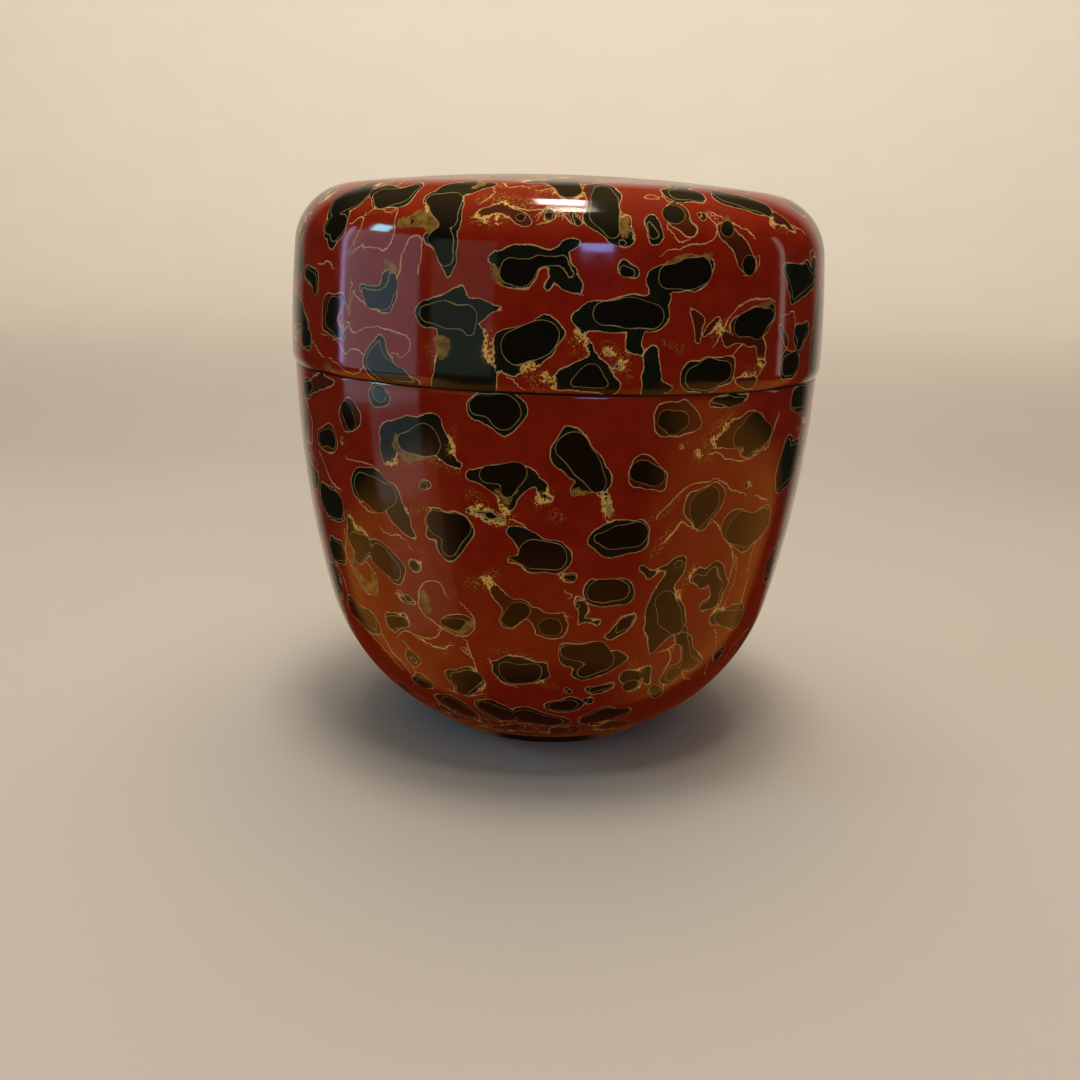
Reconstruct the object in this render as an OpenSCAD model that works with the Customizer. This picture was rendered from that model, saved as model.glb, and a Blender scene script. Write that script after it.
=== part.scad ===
// Round lidded tea caddy, a natsume: a turned wooden cup and lid under
// bonded coats of lacquer. Units are millimetres, +Z is up, and the origin is
// the centre of the foot ring's face. Every layer is one closed outline turned
// about Z. Each outline is a chain of tangent arcs, so a layer at depth t below
// the outer surface keeps the arc centres and only shortens the radii.

/* [Overall form] */
// Largest diameter, at the lid's rim
lid_d = 66; // [63:0.5:69]
// Overall height
height = 69; // [68:0.2:72]
// Height of the seam between body and lid
seam_z = 46.4; // [44:0.2:48]
// How far the lid stands proud of the body at the seam
overhang = 0.35; // [0.25:0.05:0.5]
// Diameter of the foot ring
foot_d = 29; // [26:0.5:32]
// Height of the foot ring's outer wall
foot_h = 0.6; // [0.4:0.1:1]

/* [Curves of the body] */
// Radius of the long curve down the side
side_r = 132; // [120:1:150]
// Height at which that curve would be widest
side_z = 49.1; // [47:0.1:51]
// Radius of the belly, from the side in to the foot
belly_r = 25.4; // [24:0.2:27]
// Radius of the softened edge under the seam
shoulder_r = 0.6; // [0.5:0.1:0.7]

/* [Curves of the lid] */
// Radius of the long curve up the lid's side
lid_side_r = 132; // [120:1:150]
// Radius of the lid's shoulder
lid_shoulder_r = 7.4; // [6.5:0.1:8]
// Radius of the shallow dome on top
dome_r = 197; // [160:1:240]
// Radius of the eased edge above the seam
lid_edge_r = 2.4; // [2.4:0.1:2.8]
// Height of that eased edge
lid_edge_h = 1.3; // [1:0.1:1.3]

/* [Layers] */
// Thickness of the variegated lacquer, and of the foot's lacquer
coat_t = 0.4; // [0.3:0.05:0.45]
// Thickness of the clay and lacquer ground
ground_t = 0.3; // [0.2:0.05:0.35]
// Thickness of the black lacquer lining
lining_t = 0.2; // [0.15:0.05:0.25]
// Thickness of the cloth strips
cloth_t = 0.3; // [0.2:0.05:0.35]
// Width of the cloth strips
cloth_w = 8; // [6:0.5:9]

/* [Walls and fit] */
// Whole wall of the lid at its rim
lid_wall = 2.5; // [2.4:0.05:2.7]
// Whole thickness of the lid's top
lid_top_t = 3.2; // [3:0.1:3.6]
// Height of the collar above the seam
collar_h = 9; // [7:0.5:9]
// Whole wall of the collar, lining on both sides
collar_wall = 1.7; // [1.5:0.05:1.9]
// Clearance all round between collar and lid
fit_gap = 0.15; // [0.1:0.01:0.2]
// Height of the tea well's floor at its centre
floor_z = 4.6; // [4.2:0.1:5.5]
// Radius of the well's lower corner
well_corner_r = 17; // [15:0.5:18]
// Radius of the well's dished floor
well_floor_r = 90; // [80:5:120]
// Width of the foot ring
ring_w = 3.4; // [3:0.1:4]
// Depth of the recess inside the foot ring
recess_h = 0.5; // [0.3:0.1:0.6]

/* [Hidden] */
$fn = 128;

arc_steps = 14;                  // straight steps in a long arc
short_steps = 4;                 // steps in a side arc beside the cloth
edge_steps = 6;                  // steps in a small edge rounding
wood_t = coat_t + ground_t;      // depth of the wood below the outer surface
cloth_depth = wood_t + cloth_t;
lid_r = lid_d / 2;
body_r = lid_r - overhang;
foot_r = foot_d / 2;
bore_r = lid_r - lid_wall;       // lined bore of the lid
collar_r = bore_r - fit_gap;     // lined outside of the collar
well_r = collar_r - collar_wall; // lined inside of the collar
wood_top = seam_z - lining_t;    // body's wood under the shoulder's lining
wood_rim = seam_z + lining_t;    // lid's wood above the rim's lining
lip_r = 0.6;                     // rounding of the lip's lacquered corners
lip_z = seam_z + collar_h - lip_r;
ring_in = foot_r - ring_w;

// ---- geometry of arc chains ----

// Where two circles meet, on the left of the way from p to q if side is 1,
// or on its right if side is -1
function circles_meet(p, rp, q, rq, side) =
  let (d = norm(q - p),
       a = (rp * rp - rq * rq + d * d) / (2 * d),
       h = side * sqrt(rp * rp - a * a),
       u = (q - p) / d)
  [p[0] + a * u[0] - h * u[1], p[1] + a * u[1] + h * u[0]];

// Points along an arc of centre c and radius r, from angle a to angle b
function arc(c, r, a, b, steps = arc_steps) =
  [for (i = [0:steps]) let (k = a + (b - a) * i / steps)
    c + r * [cos(k), sin(k)]];

function angle_of(from, to) = atan2(to[1] - from[1], to[0] - from[0]);
function reversed(p) = [for (i = [len(p) - 1:-1:0]) p[i]];

// ---- the body's outside, from the foot up to the seam ----

side_c = [body_r - sqrt(side_r * side_r - pow(seam_z - side_z, 2)), side_z];
belly_c = circles_meet(side_c, side_r - belly_r, [foot_r, foot_h], belly_r, 1);
belly_top = angle_of(side_c, belly_c);
cloth_low = asin((seam_z - cloth_w - side_z) / side_r);

// Angle on the side curve at depth t where it reaches height z, and that point
function side_angle(t, z) = asin((z - side_z) / (side_r - t));
function on_side(t, z) =
  let (k = side_angle(t, z)) side_c + (side_r - t) * [cos(k), sin(k)];

// Where the belly at depth t meets the foot wall at the same depth
function foot_corner(t) =
  let (r = foot_r - t, run = r - belly_c[0])
  [r, belly_c[1] - sqrt(pow(belly_r - t, 2) - run * run)];

// The side below the cloth, and the belly, going down to the foot
function body_lower(t) = concat(
  arc(side_c, side_r - t, cloth_low, belly_top),
  arc(belly_c, belly_r - t, belly_top, angle_of(belly_c, foot_corner(t))));

// The side from height z down to the cloth's lower edge
function body_upper(t, z) =
  arc(side_c, side_r - t, side_angle(t, z), cloth_low, short_steps);

function body_side(t, z) = concat(body_upper(t, z), body_lower(t));

// The softened edge at the top of the coat: a short arc that leaves the side a
// little below the seam and is cut off level at the seam
shoulder_drop = 0.75 * shoulder_r;
shoulder_a = side_angle(0, seam_z - shoulder_drop);
shoulder_c = side_c + (side_r - shoulder_r) * [cos(shoulder_a), sin(shoulder_a)];
shoulder_top_a = asin((seam_z - shoulder_c[1]) / shoulder_r);

// The foot at depth t, from its wall in to the axis
function foot_in(t) =
  [[foot_r - t, t], [ring_in + t, t], [ring_in + t, recess_h + t], [0, recess_h + t]];

// ---- the tea well, at depth t outside its lacquered face ----

// The well runs up the collar, so its side is the body's side curve moved in
well_side_r = side_r - (side_c[0] + side_r - well_r);
well_floor_c = [0, floor_z + well_floor_r];
well_corner_c = circles_meet(side_c, well_side_r - well_corner_r,
                             well_floor_c, well_floor_r - well_corner_r, -1);
well_high = angle_of(side_c, well_corner_c);
well_low = angle_of(well_floor_c, well_corner_c);
function well(t, z) = concat(
  arc(side_c, well_side_r + t, asin((z - side_z) / (well_side_r + t)), well_high),
  arc(well_corner_c, well_corner_r + t, well_high, well_low),
  arc(well_floor_c, well_floor_r + t, well_low, -90));

// ---- the lid's outside, from its rim up to the top ----

lid_side_z = seam_z + lid_edge_h;
lid_side_c = [lid_r - lid_side_r, lid_side_z];
lid_edge_c = [lid_r - lid_edge_r, lid_side_z];
dome_c = [0, height - dome_r];
lid_shoulder_c = circles_meet(lid_side_c, lid_side_r - lid_shoulder_r,
                              dome_c, dome_r - lid_shoulder_r, 1);
lid_side_top = angle_of(lid_side_c, lid_shoulder_c);
dome_edge = angle_of(dome_c, lid_shoulder_c);
lid_cloth_high = asin((cloth_w - lid_edge_h) / lid_side_r);

// The eased edge and the side up to the cloth's upper edge, from height z
function lid_lower(t, z) = concat(
  arc(lid_edge_c, lid_edge_r - t, asin((z - lid_side_z) / (lid_edge_r - t)), 0, edge_steps),
  arc(lid_side_c, lid_side_r - t, 0, lid_cloth_high, short_steps));

function lid_upper(t) = concat(
  arc(lid_side_c, lid_side_r - t, lid_cloth_high, lid_side_top),
  arc(lid_shoulder_c, lid_shoulder_r - t, lid_side_top, dome_edge),
  arc(dome_c, dome_r - t, dome_edge, 90));

function lid_side(t, z) = concat(lid_lower(t, z), lid_upper(t));

// ---- the lid's hollow, at depth t outside its lacquered face ----

ceiling_r = dome_r - lid_top_t;
lid_corner_r = 6;
lid_corner_c = [bore_r - lid_corner_r,
                dome_c[1] + sqrt(pow(ceiling_r - lid_corner_r, 2) - pow(bore_r - lid_corner_r, 2))];
lid_corner_a = angle_of(dome_c, lid_corner_c);
function lid_hollow(t, z) = concat(
  [[bore_r + t, z]],
  arc(lid_corner_c, lid_corner_r + t, 0, lid_corner_a),
  arc(dome_c, ceiling_r + t, lid_corner_a, 90));

module turned(outline) { rotate_extrude() polygon(outline); }

// ---- body ----

// Turned wooden cup, with the collar standing on it
module body_core() {
  collar_out = collar_r - lining_t;
  lip = lip_r - lining_t;
  collar_in = well(lining_t, lip_z);
  color("burlywood") turned(concat(
    [[collar_out, wood_top]],
    body_upper(cloth_depth, wood_top),
    body_lower(wood_t),
    [[foot_r - wood_t, wood_t], [ring_in + wood_t, wood_t],
     [ring_in + wood_t, recess_h + cloth_depth], [0, recess_h + cloth_depth]],
    reversed(collar_in),
    arc([collar_in[0][0] + lip, lip_z], lip, 180, 90, edge_steps),
    arc([collar_out - lip, lip_z], lip, 90, 0, edge_steps)));
}

// Hemp cloth let into the wood round the shoulder
module body_rim_cloth() {
  color("tan") turned(concat(body_upper(wood_t, wood_top),
                             reversed(body_upper(cloth_depth, wood_top))));
}

// Hemp cloth let into the underside
module body_foot_cloth() {
  color("tan") translate([0, 0, recess_h + wood_t])
    cylinder(r = ring_in + wood_t, h = cloth_t);
}

// Clay and lacquer ground over the outside and the foot
module body_ground() {
  color("dimgray") turned(concat(
    body_side(coat_t, wood_top), foot_in(coat_t),
    reversed(foot_in(wood_t)), reversed(body_side(wood_t, wood_top))));
}

// Variegated lacquer outside the body
module body_pattern_lacquer() {
  color("firebrick") turned(concat(
    arc(shoulder_c, shoulder_r, shoulder_top_a, shoulder_a, edge_steps),
    arc(side_c, side_r, shoulder_a, cloth_low, short_steps),
    body_lower(0),
    reversed(body_side(coat_t, wood_top)),
    [on_side(coat_t, seam_z)]));
}

// Black lacquer in the well, over the lip, down the collar, across the shoulder
module body_lining() {
  face = well(0, lip_z);
  back = well(lining_t, lip_z);
  lip_back = lip_r - lining_t;
  color("black") turned(concat(
    reversed(face),
    arc([face[0][0] + lip_r, lip_z], lip_r, 180, 90, edge_steps),
    arc([collar_r - lip_r, lip_z], lip_r, 90, 0, edge_steps),
    [[collar_r, seam_z], on_side(coat_t, seam_z), on_side(coat_t, wood_top),
     [collar_r - lining_t, wood_top]],
    arc([collar_r - lip_r, lip_z], lip_back, 0, 90, edge_steps),
    arc([back[0][0] + lip_back, lip_z], lip_back, 90, 180, edge_steps),
    back));
}

// Black lacquer on the foot ring and the underside
module foot_lacquer() {
  color("black") turned(concat(
    [foot_corner(0)], foot_in(0), reversed(foot_in(coat_t)), [foot_corner(coat_t)]));
}

// ---- lid ----

// Turned wooden lid
module lid_core() {
  color("burlywood") turned(concat(
    lid_lower(cloth_depth, wood_rim), lid_upper(wood_t),
    reversed(lid_hollow(lining_t, wood_rim))));
}

// Hemp cloth let into the wood round the lid's rim
module lid_rim_cloth() {
  color("tan") turned(concat(lid_lower(wood_t, wood_rim),
                             reversed(lid_lower(cloth_depth, wood_rim))));
}

// Clay and lacquer ground over the lid
module lid_ground() {
  color("dimgray") turned(concat(lid_side(coat_t, wood_rim), reversed(lid_side(wood_t, wood_rim))));
}

// Variegated lacquer outside the lid
module lid_pattern_lacquer() {
  color("firebrick") turned(concat(
    lid_side(0, seam_z), reversed(lid_side(coat_t, wood_rim)),
    [lid_lower(coat_t, seam_z)[0]]));
}

// Black lacquer inside the lid and across its rim
module lid_lining() {
  color("black") turned(concat(
    [lid_lower(coat_t, seam_z)[0], lid_lower(coat_t, wood_rim)[0]],
    lid_hollow(lining_t, wood_rim), reversed(lid_hollow(0, seam_z))));
}

body_core();
body_rim_cloth();
body_foot_cloth();
body_ground();
body_pattern_lacquer();
body_lining();
foot_lacquer();
lid_core();
lid_rim_cloth();
lid_ground();
lid_pattern_lacquer();
lid_lining();
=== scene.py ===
"""Looks of the lidded tea caddy (natsume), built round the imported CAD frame.

The CAD cores, cloths and grounds stay as they are and get materials. The five lacquer coats that show are
rebuilt here as finer turned shells from the same chains of arcs, so that their gloss is smooth, and the two
outer coats carry the variegated pattern. Lengths in this file are millimetres until a mesh is made.
"""

import math

import bpy
import numpy as np
from mathutils import Matrix, Vector


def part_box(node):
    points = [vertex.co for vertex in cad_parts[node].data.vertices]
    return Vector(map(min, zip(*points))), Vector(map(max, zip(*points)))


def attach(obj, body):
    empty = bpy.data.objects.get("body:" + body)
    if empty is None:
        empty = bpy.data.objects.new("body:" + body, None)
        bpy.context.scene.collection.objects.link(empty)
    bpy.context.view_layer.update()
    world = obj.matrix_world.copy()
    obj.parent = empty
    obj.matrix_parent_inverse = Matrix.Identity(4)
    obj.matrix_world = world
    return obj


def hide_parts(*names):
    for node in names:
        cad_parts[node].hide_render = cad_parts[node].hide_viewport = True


MM = 0.001  # metres in a millimetre
SEED = 29

# ---- shape, in millimetres; the rest comes from the frame ----
OVERHANG = 0.35  # how far the lid stands proud of the body
SIDE_R = 132.0  # long curve down the body's side, and up the lid's
SIDE_Z = 49.1  # height at which the body's long curve would be widest
BELLY_R = 25.4
EDGE_R = 0.6  # softened edge under the seam
EDGE_DROP = 0.75 * EDGE_R  # height of that edge
LID_SHOULDER_R = 7.4
DOME_R = 197.0
LID_EDGE_R = 2.4
LID_EDGE_H = 1.3
COAT_T = 0.4
LINING_T = 0.2
LID_WALL = 2.5
LID_TOP_T = 3.2
FIT_GAP = 0.15
COLLAR_WALL = 1.7
LIP_R = 0.6
FLOOR_Z = 4.6
WELL_CORNER_R = 17.0
WELL_FLOOR_R = 90.0
LID_CORNER_R = 6.0
RING_W = 3.4
RECESS_H = 0.5
SEAM_SHADE_MAX = 0.18  # painted shade of the gap at the seam: a black line that fades out between these distances from it
SEAM_SHADE_MIN = 0.11

TURNS = 576  # steps round a coat
LINING_TURNS = 256
FINE_STEP = 0.35  # spacing of rings on a patterned face
PLAIN_STEP = 1.2  # spacing of rings on a plain face
HIDDEN_STEP = 5.0  # spacing of rings on a bonded back
EDGE_STEP = 0.08  # spacing of rings round small edges: the body's,
LIP_STEP = 0.1  # the lip's,
LID_EDGE_STEP = 0.2  # the lid's
HIDDEN_LIP_STEP = 0.2  # and those on bonded backs
HIDDEN_EDGE_STEP = 1.0
CREASE = math.radians(40)
ON_AXIS = 1e-6  # an outline's point nearer the axis than this is on it

# ---- camera, in millimetres and degrees ----
CAMERA_AT = (0.0, -148.5, 61.7)
CAMERA_DOWN = 14.76
CAMERA_LEFT = 0.51
CAMERA_ROLL = 1.72
CAMERA_LENS = 38.3
LIGHT_AIM = (0.0, 0.0, 45.0)

# ---- the pattern, listed island by island ----
# A disc is (azimuth in degrees from the front, millimetres from the seam, radius in millimetres). A chain
# is a list of discs that run into one another. An island is a dab, its near-black heart with an even rim, and
# often a skirt, the wider patch of dark coat round it.
BODY_DABS = [
    [(-34.8, 1.3, 1)], [(-13, 1.5, 1.2), (-9, 2, 1.6), (-9.3, 2.9, 1.2)],
    [(21, 2.5, 1.2), (23.8, 2.6, 1.1), (22.3, 3.6, 0.9)], [(31, 0.7, 0.3), (35, 0.9, 0.5), (39, 0.7, 0.3)],
    [(57, 1.6, 1.2), (63, 1.8, 1.3)], [(-55, 8.1, 1), (-51.5, 7.6, 1.3)], [(-46.3, 7.2, 0.3)],
    [(-44.7, 3.8, 1.1), (-43.5, 4.8, 1.1)], [(-29, 6, 1.1), (-25, 5.7, 1.6), (-23.3, 6, 1)],
    [(-12, 8.8, 1), (-7, 8.7, 1.2), (-8.5, 10.5, 0.8)], [(3.6, 5.3, 1.7), (5.8, 7.2, 1.6), (8, 9, 1.2)],
    [(16.8, 7.9, 1.3), (19.5, 8.8, 1.1)], [(24.7, 6, 0.25)], [(28, 6.3, 0.3)],
    [(38, 4.6, 1.2), (42, 4.3, 1.9), (46, 4.9, 1.1), (41, 6.6, 0.8)],
    [(56.5, 7.2, 0.9), (57, 9.5, 1.9), (61, 9.5, 2), (56, 11.4, 0.8)],
    [(-41, 12.2, 1.7), (-37, 12.5, 1.9), (-34, 12.4, 1.3)], [(-25.2, 10.9, 0.55)],
    [(-22.5, 15, 1.4), (-18.5, 15, 1.4), (-20.5, 17.3, 1)],
    [(-15.3, 12.9, 0.2), (-12, 13.3, 0.4), (-9, 13.9, 0.2)], [(10.5, 10.5, 0.3), (11, 12.3, 0.4)],
    [(30.5, 12.4, 1.5), (32.8, 11.9, 1.5), (31, 14, 0.8)], [(42.6, 10.5, 0.4)],
    [(-57, 15.3, 1.8), (-52.5, 15.3, 1.8)], [(-46.5, 19, 1.2), (-43.3, 19, 1.1), (-46, 21, 0.8)],
    [(-38.5, 20, 1.6), (-35, 21.4, 1.3)], [(-29, 20.4, 0.7)], [(-8, 18.1, 0.15), (-5, 18.2, 0.6)],
    [(-3, 17.5, 1.7), (1, 17.7, 1.6)], [(3.2, 20, 0.3), (5, 20, 0.5)],
    [(9.5, 15.3, 0.7), (12.5, 15.3, 1.5), (17, 15.1, 1.4)], [(27.3, 18.9, 0.5)],
    [(42, 15.6, 2), (46, 16.4, 2), (50, 15.9, 2)], [(-58, 22, 1.4), (-54, 21.5, 1.2)],
    [(-34.5, 24.1, 0.2), (-32.5, 24.6, 0.4), (-30.5, 24.8, 0.25)],
    [(-22.5, 27, 0.6), (-20, 26.9, 0.8), (-18, 26.4, 0.5)], [(-8, 25.6, 0.9), (-5.8, 24.2, 1.2)],
    [(0.3, 26, 1.2), (0.8, 26.2, 1.3)], [(6.5, 23.5, 0.35)],
    [(10.7, 21.7, 1.4), (14.5, 21.7, 1.2), (12, 22.6, 0.8)],
    [(25.3, 23.5, 1.4), (27.5, 25.5, 1.6), (29.5, 27, 1)],
    [(32, 21, 0.6), (34.5, 21.6, 0.7), (37, 20.8, 0.9), (39.5, 22.7, 0.9), (39.5, 24.5, 0.8),
     (36.5, 24.8, 0.5)], [(42, 27, 0.9), (50, 28, 1.3)], [(-54, 29, 1.3), (-47, 29.7, 1.2)],
    [(-39, 28.8, 0.8), (-34, 27.9, 0.8)], [(-7.5, 32.5, 1.7), (-3.6, 32.4, 1.5)],
    [(5.5, 29.4, 1.3), (10, 29.7, 1.6), (12.5, 30.8, 1.2), (9, 32.2, 0.9)],
    [(14.5, 27.2, 0.3), (16.5, 26, 0.7), (18, 25, 0.5)],
    [(32, 28.5, 0.9), (34, 29.5, 0.4), (36.5, 32.5, 0.9), (39, 33, 0.8)],
    [(-36, 37.8, 0.7), (-33, 36.9, 1)], [(-34.5, 33.5, 0.6)],
    [(-21.5, 34.7, 1.3), (-18.5, 34.2, 1.2), (-21.5, 37, 0.8)], [(3, 38.2, 0.9), (6, 38, 1.2)],
    [(6, 35.2, 0.45)], [(10.5, 37, 0.5)], [(11.5, 35.3, 0.5), (15.5, 34.9, 0.4)], [(21.8, 34.8, 1)],
    [(28.5, 36, 0.6), (31, 37, 0.6)], [(33, 34, 1.2)], [(48, 33, 0.9)], [(-28, 40.5, 1.5), (-24, 42, 1.3)],
    [(-15.5, 39.5, 1.3), (-12, 41, 1.5)], [(-5, 41, 1.6), (2, 42, 1.3)],
    [(12, 41.8, 1), (17, 40.8, 1.6), (22, 40.6, 1)],
]
BODY_SKIRTS = [
    [(-58, 1.8, 0.9), (-53, 0.9, 0.8), (-49, 0.8, 0.4)], [(21.5, 2.8, 2), (26, 2.8, 1.3), (28.3, 2.9, 0.5)],
    [(-43.7, 4.3, 1.9)],
    [(-33, 8, 1.2), (-32.5, 5.5, 1.5), (-28, 5, 2), (-24, 5, 2), (-21, 6.3, 1.2), (-18, 8, 0.6)],
    [(3, 5.5, 2.1), (7.8, 8.5, 1.6), (5.2, 10, 0.9)], [(16.3, 8.3, 1.6), (20.3, 8.8, 1.4)],
    [(32.5, 5.2, 0.5), (37, 4.6, 1.7), (42, 4.4, 2.3), (46.3, 5, 1.5)],
    [(-34, 12.4, 1.5), (-32, 14.5, 1.5), (-30.5, 16, 0.8), (-28.3, 17, 0.4)],
    [(-23.3, 14.6, 1.6), (-18, 15, 1.7), (-20.3, 17.8, 1.1)],
    [(-14.5, 9, 0.9), (-10, 9, 1.9), (-8.3, 11.5, 1.3), (-6, 8.8, 1.7), (-4, 8.3, 0.7), (-2, 9.3, 0.6),
     (-1, 11.3, 0.8)], [(-47, 17.2, 0.9), (-45, 19, 1.9)],
    [(-12.3, 20.5, 0.5), (-9.5, 22.5, 0.7), (-7, 24.3, 1.6)],
    [(-6.8, 15.2, 0.8), (-4, 16.3, 1.6), (-3, 17.5, 2)],
    [(19, 18.9, 0.5), (21, 19.9, 0.5), (24, 19.2, 0.5), (27, 18.9, 0.9), (27, 20, 1.1), (25, 22, 1.2)],
    [(-22, 27, 1), (-18, 26.5, 1)], [(-4.5, 24.4, 1), (-2, 24.8, 1), (0.5, 26, 2)],
    [(6.5, 23.5, 0.8), (6.3, 25.1, 0.3), (11, 25.3, 0.35)],
    [(25, 23.5, 2), (26, 26, 2.4), (25, 28.5, 1), (24.5, 30, 0.5)],
    [(-12.3, 31.3, 0.4), (-8.5, 32.3, 2), (-3, 32.3, 1.9)],
    [(10, 30, 1.9), (15.5, 30.3, 1.2), (17.5, 30.5, 0.4)], [(-34.5, 33.5, 1.2)],
    [(19.5, 33.5, 1.3), (24, 33.2, 1), (26.5, 34.5, 0.5)],
]
LID_DABS = [
    [(-1.5, 1.9, 0.35)], [(4, 1.5, 0.6), (6.5, 2, 1.2), (8.5, 1.4, 0.6)],
    [(25.5, 1.9, 1.2), (29, 2.2, 1.5), (32.5, 2.5, 1.1)], [(50, 2.5, 1.2), (53.5, 2.6, 1.2)],
    [(-61, 3.6, 1.2), (-59, 3.6, 1.1)],
    [(-45.5, 8.3, 0.4), (-48, 7.6, 1.1), (-49, 6, 1), (-46.5, 4.9, 0.5), (-44.5, 4.6, 0.15)],
    [(-34.3, 4.2, 0.3), (-35, 2.2, 1.3), (-32.5, 1.2, 1.2), (-29, 0.8, 0.6), (-26.5, 0.4, 0.3)],
    [(-23.5, 7.6, 0.9), (-20, 7.7, 1.3), (-16.3, 7.7, 1.2), (-15.7, 6.3, 0.6)],
    [(-6.8, 4.6, 1.8), (-2.3, 5.7, 1.9)], [(8.5, 8.1, 1.2), (13, 8.3, 1.5), (16.5, 7.9, 1.3)],
    [(9.3, 4.4, 0.3)], [(11, 3.2, 0.4)], [(36, 7, 1.2), (40, 7.3, 1.5), (43.3, 8.2, 0.7)],
    [(54.5, 5.9, 0.9), (57.5, 6.3, 0.6), (55, 4.3, 0.6)],
    [(-60, 10.5, 0.7), (-56, 10.2, 0.7), (-55, 9, 0.5)],
    [(-38, 9.6, 0.3), (-35.5, 8.8, 0.8), (-33, 8.8, 1), (-31.7, 10, 0.6), (-32, 11.2, 0.4)],
    [(-23.5, 14.6, 0.5), (-21.5, 14.8, 1.2), (-20.5, 13, 0.8)],
    [(-8.5, 12.2, 1.2), (-6, 12, 1.3), (-3.5, 13.2, 0.5), (0.5, 13.3, 0.4), (2, 12, 0.4)],
    [(11.5, 12.4, 0.5), (13, 12.3, 0.35)], [(11.5, 14.8, 0.5)],
    [(20, 12, 1.1), (23.5, 12.4, 1.4), (26.3, 12.6, 1.3)], [(37.3, 13.5, 1.1)],
    [(49, 12.8, 0.6), (52.5, 11.8, 1.4), (57, 12.5, 0.9), (60, 12, 0.5), (52, 10, 0.5)],
    [(-51, 19, 1.8), (-46.5, 20, 1.7), (-47, 22, 1.1)],
    [(-50.5, 16.3, 1.1), (-48, 16, 1.2), (-48.7, 14.8, 0.7)],
    [(-40, 20.4, 0.9), (-37, 19.6, 1.3), (-33.5, 19.8, 1.2), (-32, 21.2, 0.7)], [(-28.3, 16.7, 0.35)],
    [(-25, 19.3, 0.9), (-22, 18.6, 1.6), (-20.7, 17, 1.1)], [(-14, 16.5, 0.2)], [(-11.3, 16.4, 0.25)],
    [(-6.7, 17.4, 0.5)], [(-2, 17.7, 0.45)], [(2.2, 18, 0.2), (3.2, 17, 0.4)],
    [(16.5, 17.2, 0.3), (17.3, 15.8, 0.6)], [(21.7, 18.2, 1.2)], [(27, 18.3, 0.35)], [(32.3, 16.8, 0.85)],
    [(8, 21.8, 1), (8, 20, 1.3), (8.2, 18, 1.6), (9.5, 16.2, 1)],
    [(24, 21.3, 1.1), (28, 21.5, 1.1), (26.5, 22.5, 0.8)],
    [(36, 21.3, 1.1), (41, 20.7, 1.3), (46, 19.8, 0.9)],
]
LID_SKIRTS = [
    [(30.8, 7.2, 0.5), (33, 5.6, 0.6), (37.5, 5.4, 0.7), (41, 5.2, 0.8), (42.3, 3, 0.7)],
    [(27.3, 6.3, 0.25), (29, 7, 0.4), (30.5, 7.8, 0.5)], [(36, 1.7, 0.5), (39.5, 1, 0.8)],
    [(47, 6.8, 0.5), (49.5, 4.9, 0.7)], [(45.5, 17.6, 0.5), (49, 18.6, 0.8), (53, 17.5, 0.5)],
    [(-14, 2, 0.6), (-11, 2.3, 0.4), (-7, 2.4, 0.5), (-3, 3.5, 0.6)],
    [(2, 1.6, 1.2), (6.5, 2.2, 1.7), (10, 1.1, 1)],
    [(-24.3, 7.7, 0.9), (-21.5, 7.8, 1.4), (-18.5, 8.3, 1.7), (-17, 10.2, 0.5)],
    [(-19, 6.3, 1.8), (-16.8, 4.5, 3), (-16.8, 1, 3.2), (-16.8, 0, 3.3)],
    [(-18, 8, 2), (-14.5, 8, 1.2), (-12.3, 8.2, 0.6), (-9.8, 8.4, 0.2)], [(-9, 3.3, 1.2), (-7, 4.5, 2.1)],
    [(4.5, 7.2, 0.5), (4, 6.5, 0.3), (6, 5, 0.35), (7.2, 3.8, 0.5)],
    [(4.6, 7.7, 1), (7, 8.2, 1.5), (13, 8.3, 1.8), (16.8, 8, 1.7)],
    [(14, 7, 1), (13.5, 6, 1), (13, 5, 0.9), (15, 4.4, 0.5)],
    [(17, 3.9, 0.8), (16.8, 2, 1.1), (17.3, 0.8, 1.1), (20.5, 0.5, 0.5)],
    [(-25, 14.6, 0.6), (-21.5, 14.8, 1.6), (-20.4, 13, 1.1), (-20, 11.5, 0.4)],
    [(-11.5, 13.5, 0.8), (-8, 12.7, 1.6), (-4, 13.3, 1), (0, 13.8, 0.6), (2, 14.8, 0.8)],
    [(-1, 10.7, 0.5), (0.5, 12, 0.6)],
    [(0.5, 13.3, 0.7), (0.5, 12.3, 0.9), (2.5, 11.2, 0.8), (5, 10.2, 0.3)],
    [(24.3, 9, 0.3), (26, 7.7, 0.7), (25.6, 5.4, 0.4)],
    [(25, 12.4, 1.9), (20, 12.2, 1.2), (17.5, 11.8, 1), (18.3, 10, 1), (17.5, 7.5, 0.9)],
    [(-25.5, 19.3, 1.1), (-22, 18.7, 1.9), (-23, 21, 1.2), (-18.5, 21.3, 1.3), (-15, 22.2, 1)],
    [(-14.5, 17.5, 0.7), (-11, 18, 0.7), (-7.3, 17.4, 0.9)], [(12.3, 17.4, 0.8), (11.8, 15.8, 1.2)],
    [(21.5, 18.2, 1.5), (24, 17, 1)], [(32, 16.6, 1.3), (34.5, 15.6, 1)],
    [(35.2, 15.4, 0.9), (37.3, 13.6, 1.5)],
    [(8, 22, 1.3), (8, 20, 1.6), (8.2, 18, 1.9), (9.5, 16, 1.4), (11.5, 15.3, 1.1)],
]
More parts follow.
